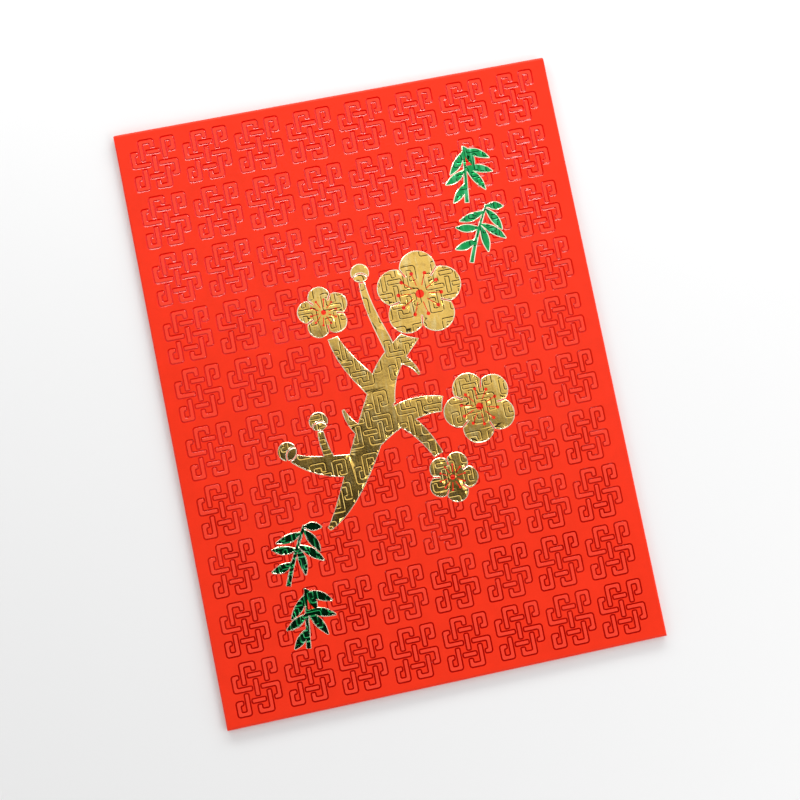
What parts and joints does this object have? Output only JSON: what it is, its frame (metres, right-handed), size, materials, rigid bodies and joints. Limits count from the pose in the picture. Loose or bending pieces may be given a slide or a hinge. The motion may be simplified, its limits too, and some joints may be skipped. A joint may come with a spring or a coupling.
{
  "type": "red envelope",
  "caption": "Small red paper packet with a creased closing flap, a flat pocket, a pressed face and gold and green foil sprigs.",
  "frame": {"origin": "centre of the closed packet's underside, midway along its width and its height, with the packet lying on its back", "axes": "+X to the right of the printed face, +Y from the bottom fold to the flap crease, +Z out of the printed face"},
  "size_m": [0.085, 0.115, 0.0013],
  "materials": {
    "red_paper_face": "satin",
    "red_paper_back": "matte",
    "dried_glue": "matte",
    "gold_foil": "polished",
    "green_foil": "polished"
  },
  "bodies": {
    "packet": {"front_panel": "red_paper_face", "left_side_fold": "red_paper_face", "right_side_fold": "red_paper_face", "bottom_fold": "red_paper_face", "flap_crease": "red_paper_face", "back_panel": "red_paper_back", "seam_flap": "red_paper_back", "seam_glue": "dried_glue", "bottom_flap": "red_paper_back", "bottom_glue": "dried_glue", "gold_branch": "gold_foil", "gold_blossoms": "gold_foil", "green_sprig_top_1": "green_foil", "green_sprig_top_2": "green_foil", "green_sprig_low_1": "green_foil", "green_sprig_low_2": "green_foil"},
    "flap": {"closing_flap": "red_paper_back"}
  },
  "joints": [
    {"name": "flap_fold", "type": "hinge", "parent": "packet", "child": "flap", "pos_m": [0, 0.05688, 0.00063], "axis": [1, 0, 0], "range_deg": [0, 180], "deforming": ["flap_crease"]}
  ]
}
